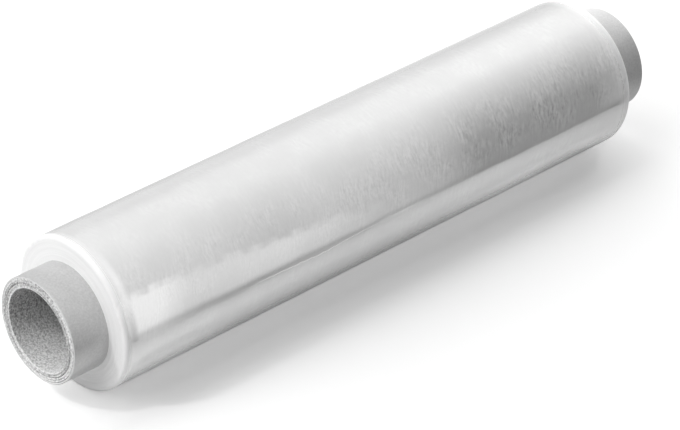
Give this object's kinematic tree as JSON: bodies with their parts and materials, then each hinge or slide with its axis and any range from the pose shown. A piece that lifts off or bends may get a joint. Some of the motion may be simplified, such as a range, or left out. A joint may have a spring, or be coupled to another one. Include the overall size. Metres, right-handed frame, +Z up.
{
  "type": "stretch wrap roll",
  "caption": "Clear stretch film wound on a paper core that stands out at both ends, lying on its side, for wrapping boxes and pallets.",
  "frame": {"origin": "on the floor, under the middle of the core, where the roll lies on the flat spot of its film", "axes": "+X along the roll towards its far end, +Y to the back, +Z up; the free end of the film is on the -Y side"},
  "size_m": [0.45, 0.0937, 0.0932],
  "materials": {
    "core_paper": "grey board, spiral wound, with rough cut ends",
    "stretch_film": "clear glossy film, silver white in the thickness of the roll"
  },
  "bodies": {
    "root": {"core_tube": "core_paper", "film_roll": "stretch_film"}
  },
  "joints": []
}
